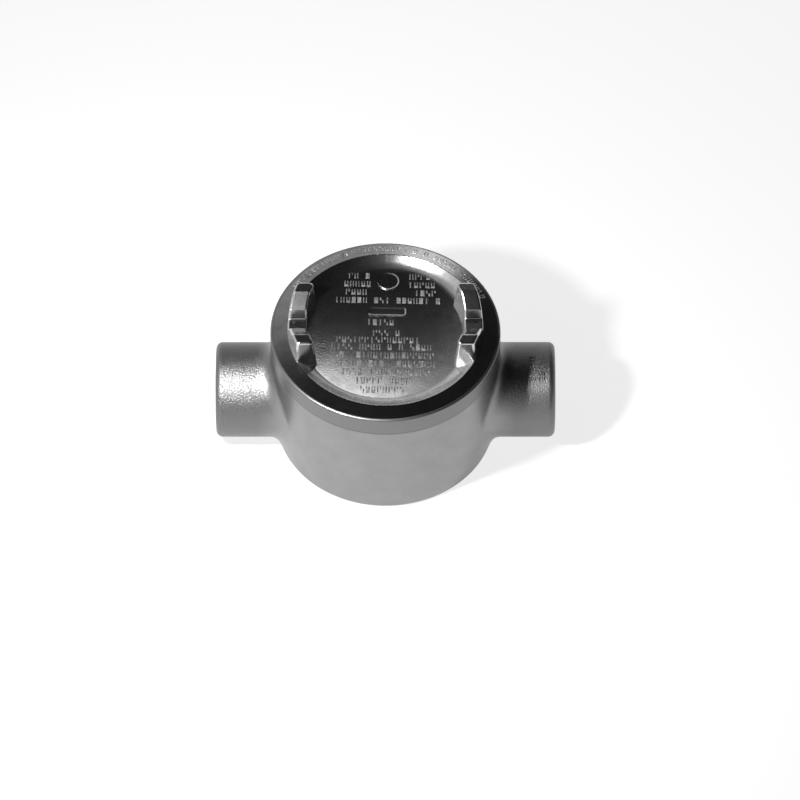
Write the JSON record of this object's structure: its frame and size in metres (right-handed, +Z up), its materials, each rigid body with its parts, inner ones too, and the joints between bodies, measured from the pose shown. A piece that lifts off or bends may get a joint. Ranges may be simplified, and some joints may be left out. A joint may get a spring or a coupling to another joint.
{
  "type": "round conduit outlet body",
  "caption": "Round cast conduit outlet body with opposite threaded hubs and a screw-in cover with slotted wrench lugs.",
  "frame": {"origin": "centre of the flat base", "axes": "+Z up through the cover, X along the two conduit hubs, Y across"},
  "size_m": [0.1366, 0.092, 0.0698],
  "materials": {
    "body_casting": "satin sand-cast aluminium",
    "cover_casting": "satin cast aluminium with polished edges",
    "seal_rubber": "matt black rubber",
    "washer_brass": "plain brass",
    "screw_green": "green dyed steel"
  },
  "bodies": {
    "housing": {"outlet_body": "body_casting", "ground_cup_washer": "washer_brass", "ground_screw": "screw_green"},
    "seal": {"cover_o_ring": "seal_rubber"},
    "cover": {"threaded_cover": "cover_casting"}
  },
  "joints": [
    {"name": "cover_rise", "type": "slide", "parent": "housing", "child": "seal", "axis": [0, 0, 1], "range_m": [0, 0.0128]},
    {"name": "cover_turn", "type": "hinge", "parent": "seal", "child": "cover", "pos_m": [0, 0, 0.05], "axis": [0, 0, 1], "range_deg": [0, 2160]}
  ],
  "couplings": [
    {"joint": "cover_rise", "follows": "cover_turn", "m_per_rad": 0.00033688}
  ]
}
